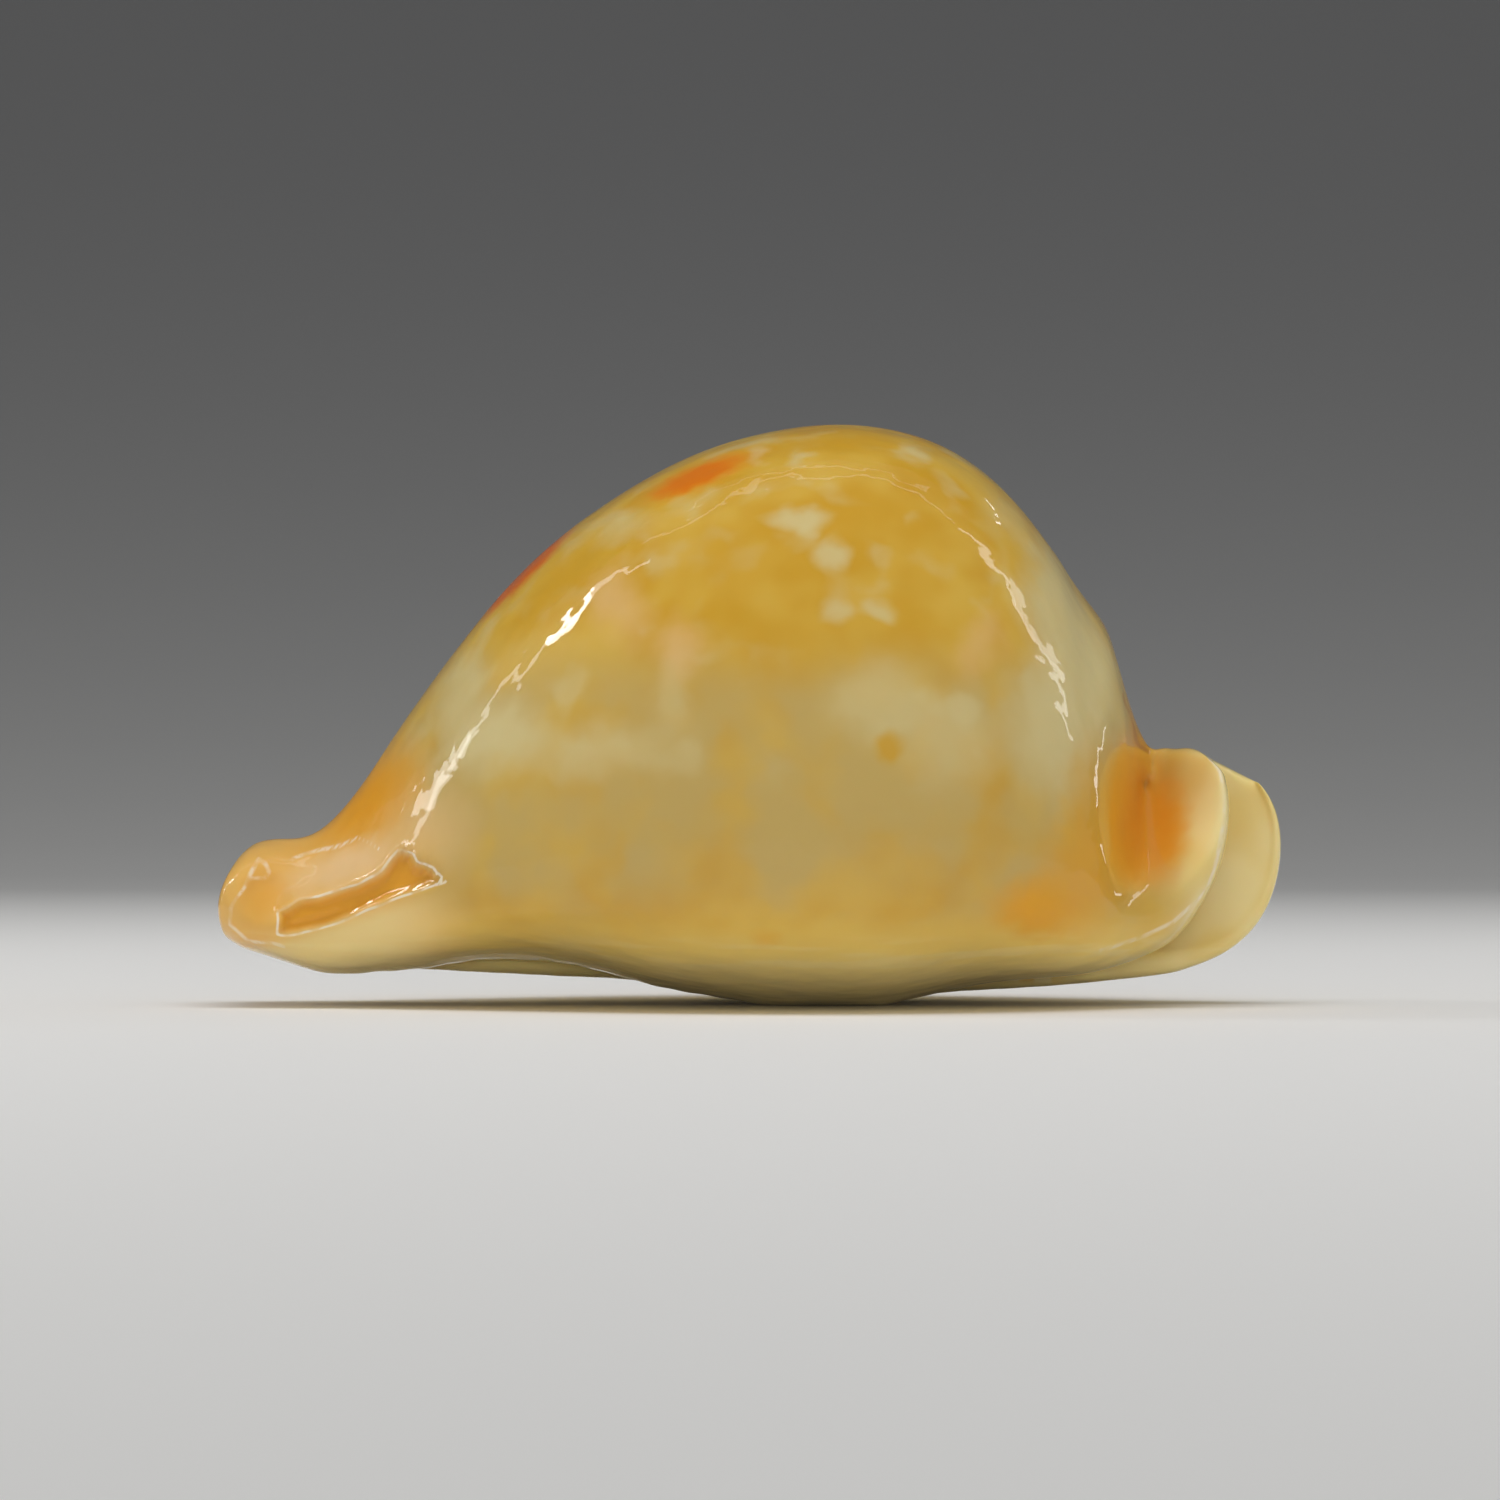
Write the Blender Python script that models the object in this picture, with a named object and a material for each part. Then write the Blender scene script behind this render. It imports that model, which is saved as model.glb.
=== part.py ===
"""Apricot cowrie: one hollow shell, rolled so that its two lips meet along a toothed slot underneath.

The wall is one rolled sheet. It is modelled as rings that run from the slot's near lip, over the back,
to its far lip, and back again inside the cavity. Each ring stands on three rails: the ridge of the back,
and the lowest line of the near half and of the far half. Towards the rear the rails turn up, so the rings
fan out round the rear canal and its two flanges. The beak's side grooves and the umbilicus are pressed
into the rings afterwards.

Metres in the scene, millimetres in the tables. +X is the rear, -X the beak, +Z the back, and the slot
faces down. The near side, where the umbilicus is, is -Y. The origin is under the middle of the shell.
"""

import math

import bmesh
import bpy
import numpy as np

MM = 0.001

# The rails, front to rear. A station is a distance along the underside, which is x for the body's
# upright rings. Each row: station, then x and z of the line there.
RIDGE = [
    (-46.0, -43.9, 12.8), (-45.0, -43.3, 13.6), (-43.5, -42.2, 14.25), (-41.0, -40.4, 14.5),
    (-38.5, -38.3, 14.6), (-36.5, -36.5, 15.7), (-34.0, -34.0, 18.6), (-30.0, -30.0, 24.4),
    (-26.0, -26.0, 30.1), (-22.0, -22.0, 35.2), (-18.0, -18.0, 39.3), (-13.0, -13.0, 43.2),
    (-7.0, -7.0, 46.8), (0.0, 0.0, 49.4), (7.5, 7.5, 50.4), (13.0, 13.0, 49.8), (18.0, 18.0, 47.8),
    (22.0, 21.9, 44.8), (26.0, 25.6, 40.3), (29.0, 28.6, 36.1), (31.2, 30.8, 33.15), (33.0, 31.7, 30.3),
    (34.6, 32.6, 26.4), (36.0, 34.1, 22.5), (37.6, 35.2, 22.2), (40.0, 36.3, 22.2), (43.0, 37.4, 22.25),
    (46.0, 38.4, 22.1), (48.5, 39.2, 21.7),
]
NEAR_LOW = [
    (-46.0, -45.2, 6.1), (-45.0, -44.6, 5.5), (-43.5, -43.4, 4.85), (-41.0, -41.0, 4.0),
    (-38.5, -38.5, 3.2), (-36.0, -36.0, 2.75), (-32.0, -32.0, 2.9), (-28.0, -28.0, 3.2),
    (-24.0, -24.0, 3.85), (-20.0, -20.0, 3.95), (-16.0, -16.0, 3.6), (-12.0, -12.0, 2.75),
    (-8.0, -8.0, 1.65), (-3.0, -3.0, 0.7), (2.0, 2.0, 0.0), (6.5, 6.5, -0.25), (11.0, 11.0, 0.0),
    (16.0, 16.0, 0.95), (20.0, 20.0, 1.75), (26.0, 26.0, 2.3), (31.0, 31.0, 3.1), (34.5, 34.5, 4.4),
    (37.0, 37.0, 6.0), (39.0, 38.7, 8.4), (41.0, 40.2, 11.4), (43.0, 41.0, 14.6), (45.0, 41.2, 17.6),
    (47.0, 40.7, 20.1), (48.5, 40.1, 21.0),
]
FAR_LOW = [
    (-46.0, -45.2, 6.3), (-45.0, -44.6, 5.7), (-43.5, -43.4, 5.05), (-41.0, -41.0, 4.2),
    (-38.5, -38.5, 3.4), (-36.0, -36.0, 2.9), (-32.0, -32.0, 2.85), (-28.0, -28.0, 2.8),
    (-24.0, -24.0, 2.5), (-20.0, -20.0, 2.25), (-16.0, -16.0, 2.0), (-11.0, -11.0, 1.75),
    (-6.0, -6.0, 1.1), (-1.0, -1.0, 0.3), (4.0, 4.0, -0.2), (9.0, 9.0, -0.25), (13.0, 13.0, 0.05),
    (18.0, 18.0, 0.7), (24.0, 24.0, 1.15), (30.0, 30.4, 1.7), (34.0, 35.3, 2.3), (37.0, 39.9, 3.35),
    (39.0, 42.7, 5.0), (40.5, 44.3, 6.7), (42.0, 45.6, 9.0), (43.5, 46.25, 12.2),
    (45.0, 46.3, 15.2), (46.3, 45.3, 18.1),
    (47.5, 43.0, 20.0), (48.5, 41.0, 20.8),
]

# Half widths from the middle plane out to the near and the far margin: station, near, far.
HALF_WIDTHS = [
    (-46.0, 6.9, 7.0), (-45.0, 8.0, 8.2), (-43.5, 8.9, 9.1), (-41.0, 9.3, 9.6), (-38.5, 9.0, 9.4),
    (-36.0, 9.0, 9.6), (-33.0, 10.1, 10.9), (-29.0, 12.9, 13.9), (-24.0, 17.0, 18.0),
    (-18.0, 21.3, 22.2), (-12.0, 24.8, 25.6), (-5.0, 27.4, 28.0), (3.0, 28.6, 29.0), (10.0, 28.4, 28.7),
    (16.0, 27.0, 27.2), (21.0, 24.5, 24.8), (25.0, 21.5, 22.0), (29.0, 17.4, 18.4), (32.0, 14.0, 15.4),
    (35.0, 11.2, 12.8), (38.0, 9.4, 10.8), (41.0, 8.5, 8.9), (44.0, 7.9, 7.4), (47.0, 7.0, 6.2),
    (48.5, 6.2, 5.4),
]

# How the section is shaped: station, height of the widest point as a share of the ring's height,
# roundness of the part above it, roundness of the part below it (2 is an ellipse, more is boxier).
SECTION = [
    (-46.0, 0.45, 2.2, 2.2), (-43.5, 0.40, 2.0, 2.2), (-40.0, 0.30, 1.75, 2.2), (-35.0, 0.26, 1.65, 2.1),
    (-29.0, 0.22, 1.80, 2.0), (-20.0, 0.21, 2.00, 2.0), (-8.0, 0.23, 2.10, 2.0), (7.0, 0.25, 2.15, 2.0),
    (20.0, 0.24, 2.15, 2.0), (29.0, 0.22, 2.10, 2.0), (33.0, 0.24, 2.10, 2.1), (37.0, 0.34, 2.5, 2.3),
    (42.0, 0.42, 3.2, 2.4), (48.5, 0.50, 2.6, 2.2),
]

# The slot: station, its middle line, its clear width, how high its lips' edges stand over the low
# line, and how thick the lips are.
SLOT = [
    (-46.0, 0.3, 4.4, 0.5, 2.6), (-43.0, 0.4, 4.0, 0.5, 3.0), (-38.0, 0.8, 3.7, 0.6, 3.4),
    (-30.0, 1.7, 3.7, 0.8, 3.8), (-20.0, 2.8, 3.8, 0.9, 4.2), (-8.0, 3.6, 3.7, 1.0, 4.6),
    (6.0, 3.7, 3.5, 1.0, 4.8), (16.0, 2.9, 3.4, 0.9, 4.6), (24.0, 1.5, 3.4, 0.8, 4.2),
    (31.0, 0.1, 3.6, 0.7, 3.2), (36.0, -0.3, 3.9, 0.4, 2.0), (42.0, -0.8, 5.5, 0.3, 1.4),
    (48.5, -0.7, 4.6, 0.2, 1.0),
]

# The cavity: station, its near and its far wall, and its roof as a share of the ring's height.
# At both ends it narrows to the canal.
CAVITY = [
    (-46.0, -2.9, 3.5, 0.62), (-42.0, -2.6, 3.4, 0.60), (-36.0, -2.6, 4.2, 0.62), (-32.0, -5.0, 7.0, 0.74),
    (-27.0, -11.2, 12.8, 0.86), (-21.0, -17.0, 18.0, 0.92), (-12.0, -22.2, 22.8, 0.95),
    (-2.0, -25.5, 25.8, 0.955), (8.0, -26.0, 26.2, 0.955), (16.0, -24.2, 24.3, 0.95),
    (21.0, -21.2, 21.6, 0.935), (24.5, -17.4, 18.6, 0.90), (27.0, -12.6, 15.0, 0.78),
    (29.0, -7.6, 10.8, 0.58), (31.5, -3.2, 5.4, 0.36), (34.5, -2.0, 3.2, 0.36), (37.0, -1.0, 2.7, 0.50),
    (39.0, -0.9, 2.5, 0.62), (41.0, -1.7, 2.4, 0.72), (43.0, -2.9, 2.4, 0.78), (45.0, -3.6, 2.4, 0.78),
    (48.5, -3.1, 2.0, 0.50),
]

CAVITY_WIDEST = 0.30
MOST_FLOOR = 0.45
LEAST_UNDERCUT = 0.5

# Where the rings stand. In the toothed stretch each tooth has one ring on its crest and one in its gap.
BEAK_STATIONS = [-46.0, -45.3, -44.4, -43.4, -42.2, -41.0, -39.8, -38.6, -37.4]
TOOTH_PITCH = 2.8
FIRST_TOOTH, LAST_TOOTH = -36.2, 28.2
REAR_STATIONS = [
    29.6, 30.2, 30.7, 31.3, 32.0, 32.8, 33.6, 34.4, 35.2, 36.0, 36.9, 37.9, 39.0, 40.2, 41.4, 42.6,
    43.8, 44.9, 45.8, 46.5, 47.0,
]

# Angles round each half of a ring, from its lowest point (0) by the margin (90) to the ridge (180).
NEAR_ANGLES = [0, 26, 46, 63, 76, 87, 96, 105, 114, 123, 133, 144, 156, 168, 180]
FAR_ANGLES = [168, 155, 142, 128, 114, 101, 88, 73, 56, 38, 20, 0]

# How far the lowest line of each half runs from the slot, as a share of the way to the margin.
KEEL_SHARE = 0.16

# The teeth: how far a crest stands out, and where the near lip's finer teeth fade out.
FAR_TOOTH, NEAR_TOOTH = 0.42, 0.30
TEETH_FADE = 5.0
NEAR_TEETH_END = 12.0

# The umbilicus: its deepest line, its reach to each side and down, the plane that its crease is
# pressed to, how fast it gets there, and the line of the body's brow over it.
PIT_X, PIT_Z = 34.0, 18.5
PIT_FORE, PIT_REAR, PIT_DOWN = 4.2, 7.4, 8.6
PIT_TO_Y = 0.9
PIT_FORE_POWER, PIT_REAR_POWER = 0.62, 1.05
PIT_BROW = (29.9, 18.4), (33.3, 22.3)

# The groove along each side of the beak: a line that climbs to the rear, its depth and half height,
# and the low ridge over it.
GROOVE_FROM, GROOVE_TO = (-40.6, 7.4), (-26.5, 11.8)
GROOVE_DEPTH, GROOVE_HALF_HEIGHT = 2.4, 1.9
GROOVE_BROW, GROOVE_BROW_OVER = 0.6, 3.9
GROOVE_FADE = 3.5

# What would lie lower than this lies flat on the ground: the small worn spots that the shell rests on.
FLAT_BELOW = 0.12

# How far the beak's end swells forward between its top and its underside.
BEAK_SWELL = 0.95
BEAK_SWELL_END = -41.0

SHELL_COLOUR = (0.80, 0.52, 0.20, 1.0)
SHELL_ROUGHNESS = 0.12


def clear_scene():
    for obj in list(bpy.data.objects):
        bpy.data.objects.remove(obj)


def curve_through(rows, column, at):
    """The smooth curve through one column of a table, read at a station: a natural cubic spline."""
    s = np.array([row[0] for row in rows])
    v = np.array([row[column] for row in rows])
    gap = np.diff(s)
    slope = np.diff(v) / gap
    count = len(s)
    system = np.eye(count)
    right = np.zeros(count)
    for i in range(1, count - 1):
        system[i, i - 1:i + 2] = gap[i - 1], 2 * (gap[i - 1] + gap[i]), gap[i]
        right[i] = 6 * (slope[i] - slope[i - 1])
    bend = np.linalg.solve(system, right)
    i = int(np.clip(np.searchsorted(s, at) - 1, 0, count - 2))
    a, b = s[i + 1] - at, at - s[i]
    return (
        (bend[i] * a**3 + bend[i + 1] * b**3) / (6 * gap[i])
        + (v[i] / gap[i] - bend[i] * gap[i] / 6) * a
        + (v[i + 1] / gap[i] - bend[i + 1] * gap[i] / 6) * b
    )


def step(low, high, value):
    """0 below low, 1 above high, and smooth between."""
    t = min(1.0, max(0.0, (value - low) / (high - low)))
    return t * t * (3 - 2 * t)


def power(base, exponent):
    return math.copysign(abs(base) ** exponent, base)


class Ring:
    """The lines of the shell at one station, and the points that they give."""

    def __init__(self, station):
        self.station = station
        self.ridge = np.array([curve_through(RIDGE, c, station) for c in (1, 2)])
        self.low = {
            -1: np.array([curve_through(NEAR_LOW, c, station) for c in (1, 2)]),
            1: np.array([curve_through(FAR_LOW, c, station) for c in (1, 2)]),
        }
        self.width = {
            -1: curve_through(HALF_WIDTHS, 1, station),
            1: curve_through(HALF_WIDTHS, 2, station),
        }
        self.widest, self.upper, self.under = (curve_through(SECTION, c, station) for c in (1, 2, 3))
        middle, clear, self.lip_rise, self.lip_thick = (
            curve_through(SLOT, c, station) for c in (1, 2, 3, 4)
        )
        self.slot = {-1: middle - clear / 2, 1: middle + clear / 2}
        near, far, self.roof = (curve_through(CAVITY, c, station) for c in (1, 2, 3))
        self.cavity = {
            -1: min(near, self.slot[-1] - LEAST_UNDERCUT),
            1: max(far, self.slot[1] + LEAST_UNDERCUT),
        }
        self.floor = {
            side: min(self.lip_thick / self.height(side), MOST_FLOOR * self.roof) for side in (-1, 1)
        }

    def place(self, side, y, share, blend=0.0):
        """The point at y, at that share of the way up from the low line of one side to the ridge.
        blend takes it towards the other side's low line, so that the halves meet inside the roof."""
        low = self.low[side] * (1 - blend) + self.low[-side] * blend
        x, z = low + share * (self.ridge - low)
        return [x, y, z]

    def height(self, side):
        return float(np.linalg.norm(self.ridge - self.low[side]))

    def keel(self, side):
        """Where the half's lowest line runs, beside the slot."""
        return self.slot[side] + side * KEEL_SHARE * abs(self.width[side] - abs(self.slot[side]))

    def lip(self, side, share):
        """A point from the lowest line (0) to the slot's edge (1)."""
        y = self.keel(side) + share * (self.slot[side] - self.keel(side))
        return self.place(side, y, share**2.5 * min(self.lip_rise / self.height(side), 0.1))

    def outer(self, side, degrees):
        """A point of the outside, by its angle round the ring."""
        angle = math.radians(degrees)
        keel = self.keel(side)
        reach = side * self.width[side]
        if degrees <= 90:
            exponent = 2 / self.under
            y = keel + (reach - keel) * power(math.sin(angle), exponent)
            share = self.widest * (1 - power(math.cos(angle), exponent))
        else:
            exponent = 2 / self.upper
            y = reach * power(math.sin(angle), exponent)
            share = self.widest - (1 - self.widest) * power(math.cos(angle), exponent)
        return self.place(side, y, share)

    def inner(self, side, degrees):
        """A point of the cavity's wall, matched to the outside's point at the same angle."""
        angle = math.radians(degrees)
        floor = self.floor[side]
        widest = max(self.widest, floor + CAVITY_WIDEST * (self.roof - floor))
        widest = min(widest, (floor + self.roof) / 2)
        start = self.slot[side] + LEAST_UNDERCUT / 2 * side
        if degrees > 90:
            start = (self.cavity[-1] + self.cavity[1]) / 2
        end = floor if degrees <= 90 else self.roof
        exponent = 2 / (self.under if degrees <= 90 else self.upper)
        y = start + (self.cavity[side] - start) * power(math.sin(angle), exponent)
        share = widest + (end - widest) * abs(math.cos(angle)) ** exponent
        return self.place(side, y, share, 0.5 * step(90, 180, degrees))

    def points(self):
        """The whole ring: near lip, near half, ridge, far half, far lip, then back inside."""
        outside = [self.lip(-1, 1.0), self.lip(-1, 0.5)]
        outside += [self.outer(-1, a) for a in NEAR_ANGLES]
        outside += [self.outer(1, a) for a in FAR_ANGLES]
        outside += [self.lip(1, 0.5), self.lip(1, 1.0)]
        inside = [self.place(1, self.slot[1], 0.6 * self.floor[1])]
        inside += [self.place(1, self.slot[1] + 0.1, 0.9 * self.floor[1])]
        inside += [self.inner(1, a) for a in reversed(FAR_ANGLES)]
        inside += [self.inner(-1, a) for a in reversed(NEAR_ANGLES)]
        inside += [self.place(-1, self.slot[-1] - 0.1, 0.9 * self.floor[-1])]
        inside += [self.place(-1, self.slot[-1], 0.6 * self.floor[-1])]
        return np.array(outside), np.array(inside)


def ring_stations():
    """Every ring's station, and for each the swing of the teeth there: 1 on a crest, -1 in a gap."""
    count = round((LAST_TOOTH - FIRST_TOOTH) / (TOOTH_PITCH / 2)) + 1
    toothed = [FIRST_TOOTH + TOOTH_PITCH / 2 * k for k in range(count)]
    stations = BEAK_STATIONS + toothed + REAR_STATIONS
    swing = [0] * len(BEAK_STATIONS) + [(-1) ** k for k in range(count)] + [0] * len(REAR_STATIONS)
    return stations, swing


def press_umbilicus(p):
    """The deep pit between the body and the near flange, open at the top."""
    x, y, z = p
    along = (x - PIT_X) / (PIT_FORE if x < PIT_X else PIT_REAR)
    down = max(0.0, PIT_Z - z) / PIT_DOWN
    to_rear = step(PIT_X - 1, PIT_X + 3, x)
    power_here = PIT_FORE_POWER + (PIT_REAR_POWER - PIT_FORE_POWER) * to_rear
    share = max(0.0, 1 - math.hypot(along, down)) ** power_here
    (x0, z0), (x1, z1) = PIT_BROW
    over = ((z - z0) * (x1 - x0) - (x - x0) * (z1 - z0)) / math.hypot(x1 - x0, z1 - z0)
    share *= 1 - step(-1.5, 1.0, over)
    p[1] = y + share * (PIT_TO_Y - y)


def press_beak_groove(p):
    """The long hollow on each side of the beak."""
    x, y, z = p
    (x0, z0), (x1, z1) = GROOVE_FROM, GROOVE_TO
    over = z - (z0 + (x - x0) * (z1 - z0) / (x1 - x0))
    hollow = GROOVE_DEPTH * math.exp(-((over / GROOVE_HALF_HEIGHT) ** 2))
    brow = GROOVE_BROW * math.exp(-(((over - GROOVE_BROW_OVER) / GROOVE_HALF_HEIGHT) ** 2))
    along = step(x0 - 2.5, x0 + 2.0, x) * (1 - step(x1 - GROOVE_FADE, x1 + GROOVE_FADE, x))
    p[1] = y + math.copysign(along * (brow - hollow), y)


def swell_beak_end(p, ring, share):
    """The beak's end stands forward between its top and its underside."""
    amount = BEAK_SWELL * (1 - step(-45.0, BEAK_SWELL_END, ring.station))
    p[0] -= amount * 4 * share * (1 - share)


def shaped_ring(station, swing):
    """One ring's points with the grooves, the umbilicus and the teeth in it."""
    ring = Ring(station)
    outside, inside = ring.points()
    for p in outside:
        press_beak_groove(p)
        if p[1] < PIT_TO_Y:
            press_umbilicus(p)
    base = min(ring.low[-1][1], ring.low[1][1])
    for p in list(outside) + list(inside):
        swell_beak_end(p, ring, min(1, max(0, (p[2] - base) / (ring.ridge[1] - base))))
    fade = step(FIRST_TOOTH - 1, FIRST_TOOTH + TEETH_FADE, station)
    fade *= 1 - step(LAST_TOOTH - TEETH_FADE, LAST_TOOTH + 1, station)
    far = swing * fade * FAR_TOOTH
    near = swing * fade * NEAR_TOOTH * (1 - step(NEAR_TEETH_END - TEETH_FADE, NEAR_TEETH_END, station))
    outside[-1] += (0, -far * 0.8, -far * 0.8)
    outside[-2][2] -= far * 0.5
    outside[0] += (0, near * 0.8, -near * 0.8)
    outside[1][2] -= near * 0.4
    inside[0][1] -= far * 0.8
    inside[-1][1] += near * 0.8
    return outside, inside


def shell_mesh():
    """The rings joined side by side, with each end closed between its outside and its inside."""
    loops = np.array([np.concatenate(shaped_ring(*at)) for at in zip(*ring_stations())])
    loops[..., 2] = np.where(loops[..., 2] < FLAT_BELOW, 0.0, loops[..., 2])
    corners = loops.reshape(-1, 3)
    middle = (corners.min(axis=0) + corners.max(axis=0)) / 2
    loops -= (middle[0], middle[1], 0.0)
    mesh = bpy.data.meshes.new("shell")
    bm = bmesh.new()
    rings = [[bm.verts.new(p * MM) for p in loop] for loop in loops]
    size = len(rings[0])
    for a, b in zip(rings, rings[1:]):
        for i in range(size):
            j = (i + 1) % size
            bm.faces.new((a[i], a[j], b[j], b[i]))
    for ring in (rings[0], rings[-1]):
        for i in range(size // 2 - 1):
            bm.faces.new((ring[i], ring[i + 1], ring[size - 2 - i], ring[size - 1 - i]))
    bmesh.ops.recalc_face_normals(bm, faces=bm.faces)
    bm.to_mesh(mesh)
    bm.free()
    mesh.shade_smooth()
    return mesh


def shell_material():
    material = bpy.data.materials.new("shell_glaze")
    material.use_nodes = True
    shader = material.node_tree.nodes["Principled BSDF"]
    shader.inputs["Base Color"].default_value = SHELL_COLOUR
    shader.inputs["Roughness"].default_value = SHELL_ROUGHNESS
    shader.inputs["Metallic"].default_value = 0.0
    return material


def build_shell():
    shell = bpy.data.objects.new("shell", shell_mesh())
    shell.data.materials.append(shell_material())
    bpy.context.scene.collection.objects.link(shell)
    return shell


clear_scene()
build_shell()
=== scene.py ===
"""Looks of the apricot cowrie shell: one glazed piece over its CAD solid, on a pale floor in soft light."""

import math

import bpy
import numpy as np
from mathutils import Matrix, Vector, noise


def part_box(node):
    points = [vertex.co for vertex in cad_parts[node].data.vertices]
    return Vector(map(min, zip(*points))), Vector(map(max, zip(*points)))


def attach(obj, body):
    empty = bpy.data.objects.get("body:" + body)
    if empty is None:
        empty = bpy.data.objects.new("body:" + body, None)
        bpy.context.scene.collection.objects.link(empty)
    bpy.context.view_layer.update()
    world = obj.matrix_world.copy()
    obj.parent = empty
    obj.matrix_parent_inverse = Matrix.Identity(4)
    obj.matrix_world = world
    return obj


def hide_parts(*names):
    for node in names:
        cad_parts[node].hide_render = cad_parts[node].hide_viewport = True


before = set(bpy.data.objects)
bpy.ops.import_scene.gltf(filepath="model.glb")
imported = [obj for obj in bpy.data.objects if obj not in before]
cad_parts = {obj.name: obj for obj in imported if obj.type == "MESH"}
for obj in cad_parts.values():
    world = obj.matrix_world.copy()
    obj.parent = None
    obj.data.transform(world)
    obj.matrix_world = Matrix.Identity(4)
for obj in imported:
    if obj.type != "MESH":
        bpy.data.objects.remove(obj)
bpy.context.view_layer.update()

MM = 0.001

# Merging the solid's skin (in metres), smoothing it, and evening it out.
MERGE_GAP = 2e-6
FIT_ROUNDS = 5
SMOOTH_LEVELS = 2
TEETH_HELD, RIMS_HELD, FAR_LOBE_HELD = 0.9, 0.55, 0.25
POLISH_ROUNDS, LONG_POLISH = 26, 3
POLISH_STEP = 0.5
RIMS_SPARED, LEAST_POLISH = 0.6, 0.15

# Sizes and places on the shell from here on are in millimetres.

# Faint waves in the skin, pressed in a little more than they stand out.
WAVE_SIZES = (10.0, 5.5)
WAVE_DEPTHS = (0.09, 0.022)
WAVE_INWARDS = 0.15

# The long groove on each side of the beak, as in the solid, and how far the solid was moved in x and y
# once it was shaped.
SOLID_SHIFT = (-0.35, -0.2)
GROOVE_FROM, GROOVE_TO = (-40.6, 7.4), (-26.5, 11.8)
GROOVE_DEPTH, GROOVE_HALF_HEIGHT = 2.4, 1.9
GROOVE_BROW, GROOVE_BROW_OVER = 0.6, 3.9
GROOVE_START = (-2.5, 2.0)
GROOVE_FADE = 3.5

# The same groove on the finished skin: its edge as (x, z), and the line along its middle. A wide
# shallow hollow and a low brow go with it, and a hollow cheek on the tip.
GROOVE_EDGE = (
    (-40.5, 8.3), (-38.7, 9.1), (-36.6, 9.8), (-33.7, 10.4), (-31.3, 12.0), (-30.1, 13.6), (-28.9, 13.2),
    (-28.5, 12.3), (-27.2, 12.0), (-26.2, 11.0), (-30.5, 9.4), (-35.4, 7.4), (-38.7, 6.4), (-40.5, 6.4),
)
GROOVE_WALL = 0.75
MIDDLE_FROM, MIDDLE_TO = (-40.6, 7.2), (-28.2, 11.9)
CRISP_DEPTH = 1.35
WIDE_DEPTH, WIDE_REACH = 0.7, 2.6
CRISP_BROW, BROW_OVER, BROW_REACH = 0.30, 3.6, 1.3
CHEEK_DEPTH, CHEEK_AT, CHEEK_REACH = 0.9, (-41.6, 9.3), (2.0, 2.3)

# Lines on the beak and in the seam waver by this much, over this distance. Blender would seed the
# noise from the clock, so it is given a seed and wavers the same way each time.
UNEVEN_BY, UNEVEN_OVER = 0.28, 1.9
UNEVEN_SEED = 1

# Thin raised lines on the beak, both sides, and along the near flange's edge, with painted highlights
# along them, and the seam down the rear of the near side with a painted shade line, all as (x, z).
TIP_ARC = ((-42.5, 12.6), (-43.4, 10.4), (-44.7, 8.4), (-44.7, 7.0), (-43.2, 5.8), (-40.3, 5.3))
TIP_LOOP = ((-42.5, 12.6), (-41.9, 12.3), (-41.5, 11.7), (-41.8, 11.1), (-42.6, 11.0))
BROW_LINE = ((-32.0, 13.6), (-33.7, 14.7), (-35.5, 13.9), (-37.8, 13.2), (-39.6, 12.6))
FLANGE_LINE = (
    (29.4, 4.9), (33.0, 6.0), (35.8, 7.3), (37.7, 8.9), (38.8, 9.9), (39.4, 11.7), (39.8, 13.7),
    (40.2, 15.9), (40.3, 17.6), (40.2, 18.8), (39.9, 20.2), (39.1, 21.3),
)
SEAM_LINE = (
    (31.6, 28.4), (31.7, 26.8), (32.1, 25.5), (32.4, 24.3), (32.7, 23.2), (33.2, 22.4), (34.0, 21.8),
)
LINE_RAISE, LINE_REACH = 0.12, 0.4
BEAK_LINES_BEFORE, REAR_LINES_AFTER = -22.0, 26.0
BEAK_TOP, SEAM_TOP = 20.0, 30.0
NO_LINE_NEAR = 9.0
SEAM_FADE = 0.6

# The slot's middle in y, and the teeth along it, as in the solid.
SLOT_MIDDLE = 2.4
TOOTH_PITCH = 2.8
FIRST_TOOTH = -36.55

# The near lip's lower edge, from beak to rear. The far lip is nearly smooth where it shows below this.
NEAR_LIP_LINE = (
    (-30.0, 3.0), (-21.0, 4.0), (-17.0, 3.8), (-13.0, 3.2), (-9.0, 2.3), (-6.0, 0.0),
    (15.0, 0.0), (17.0, 1.3), (28.7, 2.8), (34.0, 4.5), (37.5, 6.8),
)
SMOOTH_WHERE_SHOWN = 0.9

# Glaze colours, linear.
OCHRE = (0.66, 0.360, 0.020)
PALE_OCHRE = (0.73, 0.455, 0.060)
VEIL_CREAM = (0.595, 0.420, 0.128)
# Cream of the clouds, and of the pale sheen partly painted as highlight with some of them.
CLOUD_AND_SHEEN_CREAM = (0.71, 0.585, 0.27)
APRICOT = (0.86, 0.49, 0.12)
NECK_ORANGE = (0.83, 0.36, 0.015)
DEEP_ORANGE = (0.80, 0.20, 0.001)
RED_ORANGE = (0.76, 0.155, 0.001)
PATCH_ORANGE = (0.80, 0.38, 0.015)
PIT_ORANGE = (0.86, 0.42, 0.045)
PIT_BROWN = (0.74, 0.29, 0.02)
# Painted shade: the dark line along the rear seam.
SEAM_SHADE_BROWN = (0.55, 0.24, 0.03)
# Pink cream, for a blush on the beak and for painted reflections, soft sheens of the lights.
BLUSH_AND_SHEEN = (0.86, 0.56, 0.25)
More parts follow.
